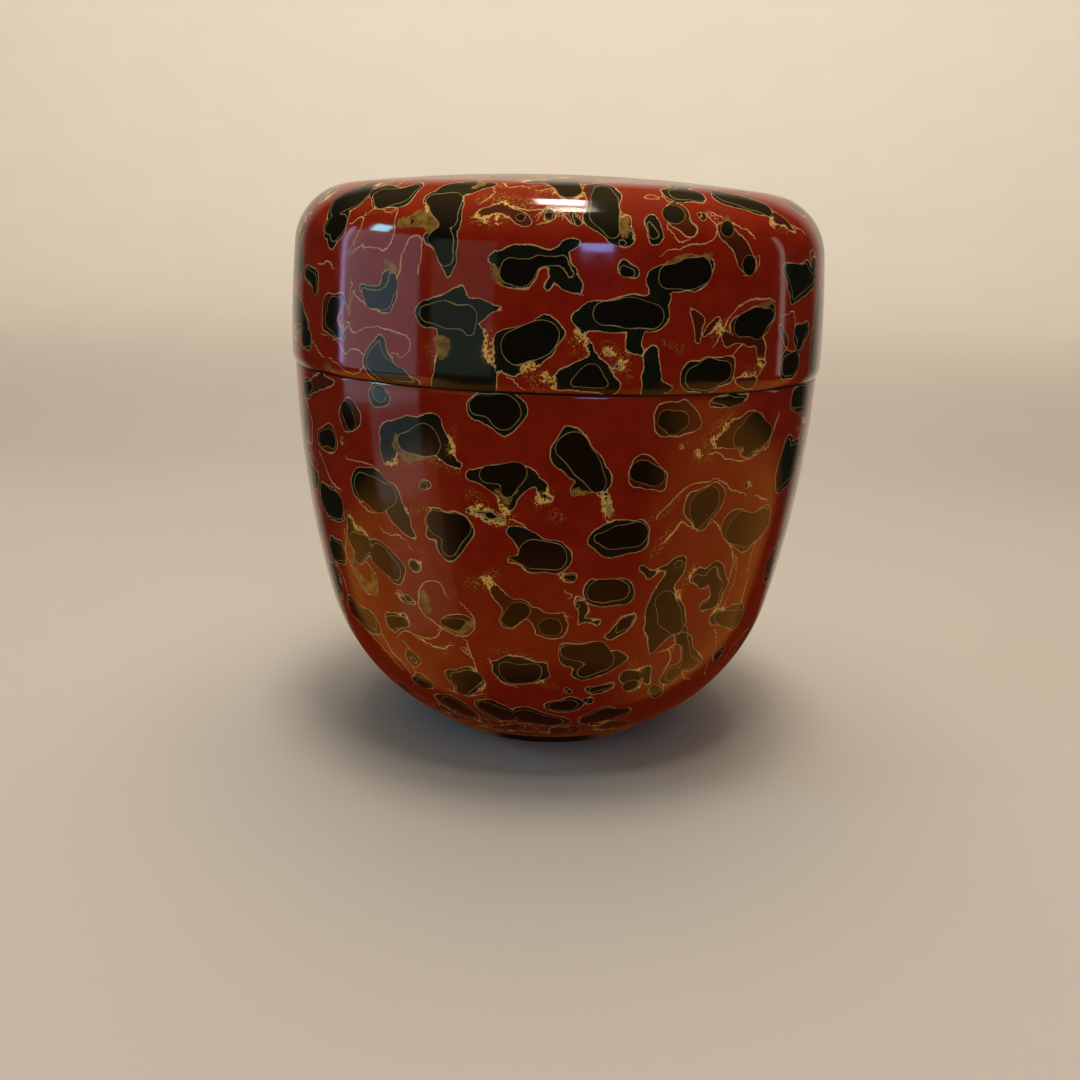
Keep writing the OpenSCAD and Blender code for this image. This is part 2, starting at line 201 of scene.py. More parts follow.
# Where the coat is dark red instead of dark green, and the ground about it is browner
BODY_RUST = [
    [(21.5, 2.8, 2.8), (28, 3, 1.4)], [(17, 8.3, 2.5), (20.5, 8.8, 2.1)], [(-43.7, 4.3, 2.4)],
    [(-54, 8, 2), (-50, 7.2, 2.2)], [(-28, 25, 1.6), (-25, 24, 1.9), (-20, 26, 2.2), (-17, 26, 1.8)],
    [(33, 5, 1), (38, 4.6, 2.2), (44, 4.5, 2.8)], [(27, 12.5, 1.6), (31, 12, 3), (40, 14, 2.4)],
    [(-5, 24, 1.5), (-1, 25, 1.8), (1, 26.2, 2.3)], [(-9.5, 22.5, 1.2), (-7, 24.3, 2.2)],
    [(-8, 18.1, 0.8), (-5, 18.2, 1.2)], [(-46.3, 7.2, 1.2)], [(-58, 1.8, 1.5), (-50, 0.8, 1.2)],
    [(3.2, 20, 1), (5, 20, 1.2)], [(-15.5, 21.3, 1), (-12, 21, 0.8)],
]
LID_RUST = [
    [(31, 7, 1.4), (34, 5.4, 1.6), (38, 5.4, 1.6), (41.5, 4.6, 1.8), (42.5, 3, 1.5)],
    [(36, 1.6, 1.4), (40, 1, 1.6)], [(46, 17.6, 1.3), (50, 18.6, 1.7), (53, 17.6, 1.3)],
    [(46.5, 6.8, 1.3), (49.5, 5, 1.3)], [(27, 6.2, 0.9), (30, 7.5, 1.2)],
    [(-14.5, 17.5, 1.3), (-11, 18, 1.5), (-7.3, 17.4, 1.6)], [(21.5, 18.2, 1.8), (24, 17, 2)],
    [(32, 16.6, 1.8), (35, 15.4, 1.6), (37.3, 13.5, 2)], [(24.5, 8.8, 1), (26, 7.7, 1.4), (25.8, 5.5, 1.2)],
    [(-49, 7, 2), (-45, 8, 1.2)], [(33, 4.6, 1.2), (37, 3.4, 1.6), (41, 4.5, 1.2)], [(-28.3, 16.7, 1)],
]
# Where the coat is worn through to a broad smear of ochre
BODY_OCHRE = [
    [(-31.2, 4.8, 0.3), (-30.8, 6.5, 0.6), (-28, 7.3, 0.7), (-24, 7.2, 0.5), (-22, 6.2, 0.2)],
    [(-10.5, 10.5, 0.4), (-8.5, 11.6, 0.6), (-6.5, 10.4, 0.4)], [(-27.8, 23.8, 0.5), (-27, 26, 0.5)],
    [(-23, 27.6, 0.5), (-20, 27.7, 0.7), (-17, 26.8, 0.6)], [(39, 6.6, 0.4), (44, 6.8, 0.4)],
    [(-49, 22.5, 0.5), (-47, 24.8, 0.7), (-43.5, 25, 0.6), (-42, 23, 0.4)],
    [(4.5, 10.2, 0.3), (7, 10.6, 0.3)], [(36, 24.8, 0.4), (40, 25.3, 0.5)],
    [(24, 34, 0.5), (22.5, 35.7, 0.5)],
]
LID_OCHRE = [
    [(-30.5, 16.5, 0.6), (-27, 16.9, 0.9), (-24.3, 16.8, 0.9), (-22.7, 15.4, 1), (-21.8, 14, 0.4)],
    [(-22.5, 4.8, 0.4), (-20.8, 4.2, 0.8), (-20.5, 3.4, 0.4)],
    [(12.5, 17.6, 0.4), (11.6, 16, 0.6), (11, 14.9, 0.4)],
    [(18.8, 13.2, 0.3), (23, 13.9, 0.4), (27.5, 13.9, 0.4), (28.6, 12.4, 0.2)],
    [(31.2, 17.5, 0.3), (33.3, 18, 0.3), (34, 16.8, 0.3)], [(35, 8.3, 0.2), (40, 8.9, 0.4), (44, 9.4, 0.3)],
    [(-12, 12.6, 0.3), (-11, 11.6, 0.3), (-9.5, 10.9, 0.2)], [(-31.8, 12, 0.5), (-33, 12.6, 0.3)],
    [(-50, 0.9, 0.5), (-48, 0.4, 0.4)],
]
# Where gold grains lie thick, in a ragged frill. Near the lid's top in front the gilt is also a painted
# highlight: the lamp's glint on the gold, painted as bright gold.
BODY_GILT = [
    [(-32.5, 9, 0.4), (-29, 8, 0.5), (-23, 7.9, 0.4), (-18, 8.8, 0.3)],
    [(-19.3, 6.5, 0.5), (-18.5, 4.5, 0.3)], [(-29, 13.4, 0.5), (-25.5, 13.3, 0.4)],
    [(-15.3, 11.4, 0.6), (-14, 12.8, 0.5), (-9, 13.6, 0.7), (-7, 13.5, 0.6)],
    [(-10.5, 11.6, 0.4), (-8, 13, 0.6)], [(-1.5, 11.5, 0.7), (0, 10, 0.4)],
    [(0.5, 13.2, 0.6), (2.5, 13.3, 0.4)], [(-15.8, 21.3, 0.7), (-12.5, 21, 0.6), (-10.8, 19.6, 0.5)],
    [(-27.5, 19.6, 0.5), (-26.5, 18.4, 0.5)], [(10.5, 11, 0.4), (11.3, 13, 0.5)],
    [(20.6, 13.3, 0.6), (24, 12, 0.5), (27, 10.4, 0.3)],
    [(20.5, 17.2, 0.4), (23, 16.2, 0.6), (25, 15, 0.5), (26.5, 14, 0.3)],
    [(30, 6.5, 0.5), (31, 5, 0.8), (34, 3, 0.8), (36, 2.3, 0.4)],
    [(26, 5.4, 0.3), (28, 6.8, 0.4), (31, 6.8, 0.4)], [(-46.5, 16, 0.5), (-45, 17.3, 0.7), (-42, 18, 0.4)],
    [(-50, 20, 0.4), (-47.5, 24.5, 0.6), (-42.5, 25.5, 0.4)],
    [(-12, 29.5, 0.3), (-8, 29.8, 0.4), (-4, 30.1, 0.3)], [(-1, 34, 0.4), (3, 34.6, 0.4)],
    [(20, 31.5, 0.5), (23, 33, 0.5)], [(22, 36, 0.5), (25.5, 35.2, 0.4)], [(28, 23.4, 0.4), (31, 20, 0.4)],
    [(37, 21, 0.6), (40, 26, 0.5)], [(43.5, 10, 0.5), (43, 12, 0.6)], [(42, 24, 0.4), (43.5, 27, 0.5)],
    [(-30, 30, 0.3), (-25, 31, 0.4), (-22.5, 29.7, 0.3)], [(-17, 33, 0.4), (-16, 37, 0.4)],
    [(2.6, 20.2, 0.5)], [(4, 24.9, 0.3)], [(-36.5, 27, 0.4), (-33, 27.8, 0.4)],
]
# The chains from -16 to 3 degrees round and 16.5 to 21 millimetres from the seam lie where the lamp lights
# the gold: there the bright gilt is partly a painted highlight.
LID_GILT_AND_HIGHLIGHT = [
    [(-26, 18.5, 0.4), (-23.5, 16.8, 0.5)], [(-15, 19.3, 0.6), (-10, 19.3, 0.8), (-6, 19.3, 0.6)],
    [(-16, 17, 0.4), (-12, 16.5, 0.6), (-10, 17, 0.5)],
    [(-5.5, 3.4, 0.7), (-3, 1.6, 1.1), (-0.5, 1.2, 0.7)], [(5, 4.6, 0.5), (3.5, 5.8, 0.7), (4, 4.4, 0.5)],
    [(9, 5.2, 0.5), (11.5, 3.3, 0.9), (12.5, 2, 0.6)], [(-11.3, 6.4, 0.4), (-11.8, 3.6, 0.6)],
    [(-24, 4, 0.4), (-22, 3.2, 0.4)], [(22, 4.4, 0.5), (19.5, 5, 0.3)], [(30, 6.2, 0.4), (32.5, 7.6, 0.5)],
    [(38, 2.3, 0.5), (41.5, 2, 0.6), (42, 3.4, 0.4)], [(-5, 20.6, 0.5), (3, 20.4, 0.6)],
    [(-38, 17.6, 0.3), (-35.5, 18, 0.3)], [(11, 19, 0.4), (12.8, 16, 0.4)],
    [(46, 17.5, 0.6), (50, 17, 0.5)],
]
# Thin gold threads, each a run of (azimuth, millimetres from the seam)
BODY_THREADS = [
    [(21.5, 13.2), (23, 12), (26, 11), (27.5, 9.8), (31, 9.3), (36, 10), (38, 11.3), (45, 12), (50, 12.8)],
    [(23.5, 16), (25.5, 15.5), (26.5, 14), (28, 14.5), (31, 15.3), (34.5, 14), (37.5, 15.5), (40, 18),
     (44, 20), (44.5, 24), (43, 26)], [(-57, 10), (-54, 12.3), (-50, 13)],
    [(8, 10), (9.5, 11), (11, 10.6), (11.5, 12), (10.7, 12.8)],
    [(-45, 9), (-41, 9.3), (-37, 10), (-33.5, 10.8), (-31, 12.8)],
    [(-44, 12.5), (-42, 15), (-38, 15.3), (-36, 17), (-31.5, 17.2), (-29.5, 18.3)],
    [(-50, 18.5), (-51, 21.5), (-49, 24.5), (-45, 26), (-42, 25), (-41.5, 22.5), (-43.5, 21.5)],
    [(-29.5, 25), (-28.5, 23), (-25, 21.8), (-22.3, 22.5), (-22, 24), (-18, 23.9), (-15.6, 25.5),
     (-16, 27.6), (-19, 28.7), (-24, 28), (-28, 27), (-29.5, 25)],
    [(-30, 30), (-25, 31), (-22.5, 29.5), (-17, 31), (-15.5, 33.5), (-16.5, 36)],
    [(29, 30), (31, 31.5), (30, 33.5), (32, 36)], [(31, 6.4), (33, 6), (35.5, 7.6), (40, 8.4), (46, 6.8)],
    [(-7, 13.6), (-4, 14.4), (-3, 15)], [(-24, 28), (-27, 30), (-33, 29), (-38, 30.5)],
    [(3.5, 21.5), (5, 22.3), (7.5, 22.3), (8.3, 24), (6.5, 24.8), (5, 23.6), (5.5, 22.4)],
    [(-36, 24.1), (-33, 23.3), (-30, 24.6), (-33, 25.3), (-36, 24.1)], [(-52, 30.5), (-44, 33), (-40, 36)],
    [(-44, 30.5), (-41, 33), (-38, 34.5), (-37, 37), (-33, 38)],
    [(-36, 31.3), (-33, 33), (-36, 35.3), (-31, 36.5)], [(-18, 29.5), (-16, 32), (-17, 35)],
    [(-13, 31), (-11.5, 34), (-8, 35)], [(42, 29), (45, 31), (44, 34), (47, 36)],
    [(27, 30.5), (33, 29), (35.5, 31.5), (37, 34.5), (41, 36)], [(-25, 37.5), (-21, 38.3), (-17, 37)],
    [(50, 18), (49, 21), (52, 24), (50, 27)], [(41, 18), (42, 21), (40.5, 23)],
    [(44.8, 4), (45, 7.5), (49, 6.5), (50, 3)],
]
LID_THREADS = [
    [(-43, 6), (-41.5, 5), (-38, 5.4), (-34.5, 5.7), (-28.5, 5.6), (-27.4, 4.3), (-28.3, 2.9),
     (-31.3, 3.6), (-31.8, 3), (-28, 1.2), (-25.5, 0.6)],
    [(-41.5, 10), (-39.5, 8.3), (-35, 7.2), (-31.5, 8), (-30.3, 10.2), (-30.5, 12.4), (-29, 14.3),
     (-27, 15), (-26, 14.2), (-26.3, 12)],
    [(-54, 12), (-50, 12.6), (-47.5, 11.3), (-45, 10.4), (-43.5, 11), (-44.5, 12.3), (-40, 14.5),
     (-38.5, 13.3), (-33, 13.6), (-31.5, 15), (-33, 17.5)],
    [(-51, 4.6), (-46, 3.6), (-43.5, 2.5), (-41.5, 3.7), (-38, 3), (-37.3, 1.5), (-40, 0.6), (-50, 1.6),
     (-56, 3.5)], [(-45.5, 11), (-44.5, 13), (-41, 15.5), (-39.5, 17.2), (-44, 16.5)],
    [(-41.8, 10), (-42, 7), (-43, 6), (-44.5, 5)], [(-39, 17.5), (-37, 18.5), (-35, 17.3), (-33, 18.3)],
    [(-44, 5), (-42.8, 6.3), (-43.5, 8), (-45.5, 7.5), (-46, 6), (-44, 5)],
    [(-15, 22.5), (-12, 20.3), (-15, 18.8)],
    [(-12, 22.8), (-10, 20.8), (-8, 22), (-4, 20.4), (0, 21.8), (5, 21.2)],
    [(-9, 18.6), (-4, 18.4), (1, 18.8), (5, 18.3)], [(0, 18.2), (1, 17), (3, 16.4), (5, 17)],
    [(-4, 17.8), (-2.5, 18.6), (-1, 17.6), (-2, 16.8), (-3.6, 17)],
    [(28, 18.4), (30.5, 16.8), (27, 15.2), (24, 15.5), (18, 14.2)],
    [(15.5, 20.3), (17, 19.6), (19.5, 20.3), (17.5, 21), (15.5, 20.3)], [(21, 21.5), (20, 20), (22, 19.8)],
    [(36, 4.6), (38, 5.8), (41, 4.2), (43, 3), (41, 1.2)],
    [(30, 5.4), (32, 6.8), (34, 9.3), (40, 10), (45, 9.5)], [(29.5, 4.3), (33, 3.6), (35.5, 4.8), (38, 7)],
    [(30, 18.7), (35, 17.3), (40, 16), (41, 13.5), (38.5, 11.8), (36, 12)],
    [(44, 17), (50, 18.5), (58, 17)], [(48, 8), (52, 8.6), (53, 6.5)], [(0, 5.7), (-0.5, 3.6), (-3, 3.8)],
    [(21, 18.5), (19.3, 17), (21, 15.6), (24, 16)], [(-6, 0.5), (-9, 2.2), (-12, 1.6), (-11.5, 0.3)],
]
BY_HAND = {
    "body": {"dabs": BODY_DABS, "skirts": BODY_SKIRTS, "rust": BODY_RUST, "ochre": BODY_OCHRE,
             "gilt_and_highlight": BODY_GILT, "threads": BODY_THREADS},
    "lid": {"dabs": LID_DABS, "skirts": LID_SKIRTS, "rust": LID_RUST, "ochre": LID_OCHRE,
            "gilt_and_highlight": LID_GILT_AND_HIGHLIGHT, "threads": LID_THREADS},
}
SEEN_AZIMUTH = 62.0  # the listed layouts cover the front, this far to each side,
HAND_TO = {"body": 43.0, "lid": 22.5}  # and this far from the seam

# ---- the rest of the pattern, strewn by rule ----
STREWN_RADII = {"body": (0.9, 2.0), "lid": (1.1, 2.6)}
SPECK_RADII = (0.25, 0.6)
STREWN_GAP = 0.8  # bare ground kept round a strewn dab,
STREWN_TRIES = 800  # and how many places are tried for one
SPECK_GAP = 0.5
SPECK_TRIES = 500
SKIRT_SHARE = 0.7  # how many of the strewn dabs have each of these
RUST_SHARE = 0.35
GILT_SHARE = 0.6
OCHRE_SHARE = 0.15
THREAD_SHARE = 0.5
LEAST_TURN_R = 4.0  # steps nearer the axis than this turn no further round it than they would here

# ---- colours, as linear red, green and blue ----
VERMILION = (0.225, 0.0130, 0.0022)
VERMILION_DEEP = (0.190, 0.0080, 0.0014)
RUST = (0.062, 0.0085, 0.0030)
BLACK = (0.0045, 0.0036, 0.0016)
GREEN_BLACK = (0.0042, 0.0068, 0.0034)
OLIVE_BLACK = (0.0075, 0.0080, 0.0030)
GOLD = (0.44, 0.25, 0.080)
# GOLD_BRIGHT is gold where the grains lie thick, and near the lid's top also a painted highlight.
GOLD_BRIGHT = (0.72, 0.42, 0.09)
GOLD_PALE = (0.50, 0.34, 0.16)
GOLD_DULL = (0.29, 0.20, 0.075)
OCHRE = (0.26, 0.13, 0.022)
OCHRE_DARK = (0.10, 0.052, 0.010)

# ---- what the lacquer mirrors, and the backdrop ----
ROOM_DIM = (0.026, 0.022, 0.016)
ROOM_WALL = (0.60, 0.48, 0.36)
ROOM_CEILING = (0.42, 0.27, 0.11)
TABLE_DIM = (0.08, 0.022, 0.006)
TABLE_FRONT = (0.60, 0.17, 0.016)
TABLE_LIT = (0.78, 0.28, 0.042)
TABLE_NEAR = (0.10, 0.018, 0.006)
BACKDROP = (0.62, 0.54, 0.45)


# ---- lights, camera and floor ----


def make_camera():
    data = bpy.data.cameras.new("camera")
    data.lens = CAMERA_LENS
    data.sensor_width = 36.0
    data.clip_start = 0.005
    data.clip_end = 20.0
    camera = bpy.data.objects.new("camera", data)
    turn = Matrix.Rotation(math.radians(CAMERA_LEFT), 4, "Z")
    tilt = Matrix.Rotation(math.radians(90.0 - CAMERA_DOWN), 4, "X")
    roll = Matrix.Rotation(math.radians(CAMERA_ROLL), 4, "Z")
    camera.matrix_world = Matrix.Translation(Vector(CAMERA_AT) * MM) @ turn @ tilt @ roll
    bpy.context.scene.collection.objects.link(camera)
    bpy.context.scene.camera = camera


def softbox(name, azimuth, elevation, distance, size, brightness, colour, mirrored=True):
    """A rectangular light turned towards the caddy. Azimuth is in degrees from the front, positive to the
    right, and brightness is its radiance. One that isn't mirrored leaves no reflection in the lacquer."""
    data = bpy.data.lights.new(name, "AREA")
    data.shape = "RECTANGLE"
    data.size, data.size_y = size
    data.energy = brightness * math.pi * size[0] * size[1]
    data.color = colour
    light = bpy.data.objects.new(name, data)
    a, e = math.radians(azimuth), math.radians(elevation)
    away = Vector((math.sin(a) * math.cos(e), -math.cos(a) * math.cos(e), math.sin(e)))
    light.location = Vector(LIGHT_AIM) * MM + away * distance
    light.rotation_euler = (-away).to_track_quat("-Z", "Y").to_euler()
    light.visible_glossy = mirrored
    bpy.context.scene.collection.objects.link(light)
    return light


def make_lights():
    warm, cool = (1.0, 0.90, 0.78), (0.28, 0.80, 1.0)
    sky, blue = (0.68, 0.85, 1.0), (0.50, 0.45, 1.0)
    softbox("lamp", 0, 88, 0.9, (0.18, 0.18), 26.0, warm)
    softbox("lamp_front", 8, 73, 0.9, (0.15, 0.10), 18.0, warm)
    softbox("lamp_glow", 18, 81, 0.88, (0.15, 0.34), 7.0, warm)
    softbox("window", -78, 5, 0.8, (0.62, 0.46), 0.95, sky)
    softbox("window_edge", -98, 8, 0.8, (0.04, 0.40), 3.4, blue)
    softbox("window_sill", -70, -16, 0.8, (0.36, 0.20), 0.38, sky)
    softbox("table_glow", -66, -29, 0.8, (0.42, 0.34), 0.24, (1.0, 0.68, 0.50))
    softbox("window_top", -82, 25, 0.8, (0.13, 0.10), 17.0, cool)
    softbox("front_wall", -38, 6, 0.9, (0.42, 0.40), 0.30, (0.8, 1.0, 0.85))
    softbox("screen", 15, 16, 0.8, (0.17, 0.12), 12.0, (0.25, 0.42, 1.0))
    softbox("strip", 104, 8, 0.8, (0.05, 0.40), 1.2, warm)
    softbox("overhead", 180, 79, 0.32, (0.26, 0.26), 4.5, warm, mirrored=False)
    softbox("fill", 10, 40, 1.2, (1.4, 0.9), 0.62, warm, mirrored=False)
    wash = softbox("wall_wash", 180, 65, 1.0, (2.4, 0.5), 9.5, warm, mirrored=False)
    wash.rotation_euler = (math.radians(75), 0.0, 0.0)  # towards the wall behind instead


def make_world():
    """A pale backdrop to the camera. To everything else a room: dim in front of the caddy, with a pale wall
    behind it, and below the horizon a warm table that is lit to the sides. Each pair of numbers is where
    one of these begins and where it is complete, along a direction of length 1."""
    ceiling = (0.45, 1.0)
    wall = (0.70, 0.85)
    table = (-0.24, -0.32)
    table_front = (-0.50, -0.70)
    table_sides = (-0.75, -0.45)
    table_back = (0.48, 0.62)
    table_foot = (-0.80, -0.96)
    tilt_back, tilt_left = 0.12, 0.08
    over_one = 1.0001  # so that nothing is divided by nought straight up or down
    world = bpy.data.worlds.new("studio_air")
    world.use_nodes = True
    t = Tree(world=world)
    x, y, z = t.parts(t.node("TexCoord").outputs["Generated"])
    level = t.math("SQRT", t.math("SUBTRACT", over_one, t.math("MULTIPLY", z, z)))
    behind = t.math("DIVIDE", y, level)
    above = t.mix(t.ramp(z, *ceiling), ROOM_DIM, ROOM_CEILING)
    above = t.mix(t.ramp(y, *wall), above, ROOM_WALL)
    front = t.mix(t.ramp(z, *table_front), TABLE_DIM, TABLE_FRONT)
    beside = t.mix(t.ramp(behind, *table_sides), front, TABLE_LIT)
    beside = t.mix(t.ramp(behind, *table_back), beside, TABLE_NEAR)
    below = t.mix(t.ramp(z, *table_foot), beside, TABLE_NEAR)
    tilt = t.math("SUBTRACT", t.math("MULTIPLY", y, tilt_back), t.math("MULTIPLY", x, tilt_left))
    room = t.mix(t.ramp(t.math("ADD", z, tilt), *table), above, below)
    path = t.node("LightPath")
    t.link(t.mix(path.outputs["Is Camera Ray"], room, BACKDROP), t.shader.inputs["Color"])
    bpy.context.scene.world = world


def make_floor():
    """A pale floor that sweeps up into a wall behind, so that no horizon shows from the front."""
    front_y = -1.2
    flat_y = 0.3
    bend_y = 0.7
    bend_r = 0.5
    top_z = 1.8
    half_width = 2.0
    bend_steps = 24
    line = [(front_y, 0.0), (-flat_y, 0.0), (flat_y, 0.0)]
    for i in range(bend_steps + 1):
        a = -math.pi / 2 + math.pi / 2 * i / bend_steps
        line.append((bend_y + bend_r * math.cos(a), bend_r + bend_r * math.sin(a)))
    line.append((bend_y + bend_r, top_z))
    verts = [(x, y, z) for y, z in line for x in (-half_width, half_width)]
    faces = [(2 * i, 2 * i + 1, 2 * i + 3, 2 * i + 2) for i in range(len(line) - 1)]
    mesh = bpy.data.meshes.new("floor")
    mesh.from_pydata(verts, [], faces)
    mesh.shade_smooth()
    mesh.materials.append(floor_material())
    floor = bpy.data.objects.new("floor", mesh)
    floor.visible_glossy = False  # the lacquer mirrors the room instead
    bpy.context.scene.collection.objects.link(floor)


# ---- node helpers ----


class Tree:
    """A node tree, of a new material or of a world, with short calls for the nodes used here."""

    def __init__(self, name=None, world=None):
        self.material = world or bpy.data.materials.new(name)
        self.material.use_nodes = True
        self.tree = self.material.node_tree
        self.shader = self.tree.nodes["Background" if world else "Principled BSDF"]
        self.where = self.node("TexCoord").outputs["Object"]

    def link(self, value, socket):
        if isinstance(value, bpy.types.NodeSocket):
            self.tree.links.new(value, socket)
        elif isinstance(value, tuple):
            socket.default_value = (*value, 1.0) if len(socket.default_value) == 4 else value
        else:
            socket.default_value = value

    def node(self, kind):
        return self.tree.nodes.new("ShaderNode" + kind)

    def parts(self, vector):
        """A vector's x, y and z."""
        node = self.node("SeparateXYZ")
        self.link(vector, node.inputs[0])
        return node.outputs

    def math(self, operation, a, b=0.0):
        node = self.node("Math")
        node.operation = operation
        self.link(a, node.inputs[0])
        self.link(b, node.inputs[1])
        return node.outputs[0]

    def mix(self, share, a, b):
        node = self.node("Mix")
        node.data_type = "RGBA"
        self.link(share, node.inputs[0])
        self.link(a, node.inputs[6])
        self.link(b, node.inputs[7])
        return node.outputs[2]

    def ramp(self, value, low, high, to_low=0.0, to_high=1.0):
        """value from low..high becomes to_low..to_high, and stays between them."""
        node = self.node("MapRange")
        for socket, item in zip(node.inputs[:5], (value, low, high, to_low, to_high), strict=True):
            self.link(item, socket)
        return node.outputs[0]

    def noise(self, size_mm, detail=2.0, rough=0.5, stretch=(1.0, 1.0, 1.0)):
        """Noise from about 0 to 1 with features of that size."""
        place = self.node("VectorMath")
        place.operation = "MULTIPLY"
        self.link(self.where, place.inputs[0])
        self.link(tuple(s / (size_mm * MM) for s in stretch), place.inputs[1])
        node = self.node("TexNoise")
        node.inputs["Scale"].default_value = 1.0
        node.inputs["Detail"].default_value = detail
        node.inputs["Roughness"].default_value = rough
        self.link(place.outputs[0], node.inputs["Vector"])
        return node.outputs["Fac"]

    def nudged(self, value, by, amount):
        """value with amount times by added."""
        return self.math("ADD", value, self.math("MULTIPLY", by, amount))

    def field(self, name):
        node = self.node("Attribute")
        node.attribute_name = name
        return node.outputs["Fac"]

    def bump(self, height, depth_mm):
        node = self.node("Bump")
        node.inputs["Distance"].default_value = depth_mm * MM
        self.link(height, node.inputs["Height"])
        self.link(node.outputs["Normal"], self.shader.inputs["Normal"])

    def set(self, **values):
        for name, value in values.items():
            self.link(value, self.shader.inputs[name.replace("_", " ")])


# ---- materials ----


def mottled(name, noise, colours, roughness):
    """A material's tree whose colour and roughness both follow one noise, and the noise. noise is what
    Tree.noise asks for, and each of the others is a pair."""
    t = Tree(name)
    mottle = t.noise(*noise)
    t.set(Base_Color=t.mix(mottle, *colours), Roughness=t.ramp(mottle, 0.3, 0.7, *roughness))
    return t, mottle


def floor_material():
    t, _ = mottled("pale_floor", (60.0, 3.0), ((0.37, 0.345, 0.31), (0.39, 0.365, 0.33)), (0.75, 0.85))
    return t.material


def pattern_material(seam):
    """Variegated lacquer: layer upon layer rubbed flush, read from the fields that the coats carry."""
    t = Tree("pattern_lacquer")
    # The gilt mask: thick gold grains, and near the lid's top also a painted highlight on the gold.
    gilt_and_highlight = t.ramp(t.field("gilt_and_highlight"), 0.35, -0.35)
    rust = t.ramp(t.field("rust"), 0.3, -0.3)
    grain = t.noise(0.35, 2.0, 0.6)
    fleck = t.noise(0.2, 1.0)
    drift = t.noise(2.2, 2.0)
    uneven = t.math("SUBTRACT", grain, 0.5)
    skirt = t.nudged(t.field("skirt"), uneven, t.ramp(gilt_and_highlight, 0.0, 1.0, 0.2, 2.2))
    ochre = t.nudged(t.field("ochre"), uneven, 0.7)
    dab = t.nudged(t.field("dab"), uneven, 0.1)
    thread = t.math("ABSOLUTE", t.nudged(t.field("thread"), uneven, 0.3))
    thread = t.math("MAXIMUM", thread, t.math("SUBTRACT", t.field("thread_gap"), 0.4))

    red = t.mix(t.ramp(drift, 0.35, 0.7), VERMILION_DEEP, VERMILION)
    red = t.mix(t.math("MULTIPLY", rust, 0.12), red, RUST)
    red = t.mix(t.math("MULTIPLY", t.ramp(fleck, 0.54, 0.62), gilt_and_highlight), red, OCHRE)
    # Gold turns GOLD_BRIGHT in the gilt. Near the lid's top this is partly a painted highlight.
    gold = t.mix(gilt_and_highlight, t.mix(t.ramp(grain, 0.4, 0.6), GOLD, GOLD_PALE), GOLD_BRIGHT)
    smear = t.mix(t.ramp(t.noise(0.9, 3.0), 0.4, 0.65), OCHRE, OCHRE_DARK)
    coat = t.mix(t.ramp(drift, 0.4, 0.6), GREEN_BLACK, OLIVE_BLACK)
    coat = t.mix(rust, coat, RUST)
    coat = t.mix(t.math("MULTIPLY", t.ramp(fleck, 0.5, 0.6), gilt_and_highlight), coat, OCHRE)

    outer_line = t.nudged(t.ramp(drift, 0.3, 0.7, 0.05, 0.13), gilt_and_highlight, 0.4)
    inner_line = t.nudged(t.ramp(drift, 0.7, 0.3, 0.035, 0.09), gilt_and_highlight, 0.12)
    soft = 0.02
    colour = t.mix(t.ramp(thread, 0.10, 0.06), red, gold)
    colour = t.mix(t.ramp(skirt, soft, -soft), colour, gold)
    colour = t.mix(t.ramp(t.math("ADD", skirt, outer_line), soft, -soft), colour, coat)
    colour = t.mix(t.ramp(ochre, 0.08, -0.08), colour, smear)
    colour = t.mix(t.ramp(dab, soft, -soft), colour, t.mix(rust, GOLD_DULL, OCHRE))
    colour = t.mix(t.ramp(t.math("ADD", dab, inner_line), soft, -soft), colour, BLACK)
    # Painted shade: the colour turns black in a thin band at the seam, where the gap between lid and body
    # lies in shade
    off_seam = t.math("ABSOLUTE", t.math("SUBTRACT", t.parts(t.where)["Z"], seam * MM))
    colour = t.mix(t.ramp(off_seam, SEAM_SHADE_MAX * MM, SEAM_SHADE_MIN * MM), colour, BLACK)
    t.set(Base_Color=colour, Roughness=t.ramp(drift, 0.3, 0.7, 0.07, 0.11), IOR=1.48)
    t.bump(t.noise(4.0, 2.0), 0.012)
    return t.material


def black_lacquer_material():
    blacks = (0.006, 0.005, 0.0045), (0.014, 0.012, 0.010)
    t, _ = mottled("black_lacquer", (3.0, 3.0), blacks, (0.10, 0.18))
    t.set(IOR=1.52)
    t.bump(t.noise(3.5, 2.0), 0.012)
    return t.material


def ground_material():
    clays = (0.050, 0.043, 0.036), (0.125, 0.108, 0.092)
    t, grit = mottled("clay_ground", (0.3, 4.0, 0.7), clays, (0.75, 0.95))
    t.bump(grit, 0.05)
    return t.material


def wood_material():
    """Turned wood: growth rings across the grain, with fine pores along it."""
    t = Tree("turned_wood")
    rings = t.node("TexWave")
    rings.wave_type = "RINGS"
    rings.rings_direction = "Y"
    rings.inputs["Scale"].default_value = 90.0
    rings.inputs["Distortion"].default_value = 3.0
    rings.inputs["Detail"].default_value = 2.0
    t.link(t.where, rings.inputs["Vector"])
    pores = t.noise(0.5, 3.0, 0.6, stretch=(1.0, 0.08, 1.0))
    colour = t.mix(rings.outputs["Fac"], (0.62, 0.43, 0.25), (0.42, 0.26, 0.13))
    colour = t.mix(t.ramp(pores, 0.55, 0.75), colour, (0.25, 0.14, 0.07))
    t.set(Base_Color=colour, Roughness=t.ramp(pores, 0.3, 0.7, 0.5, 0.7))
    t.bump(pores, 0.04)
    return t.material


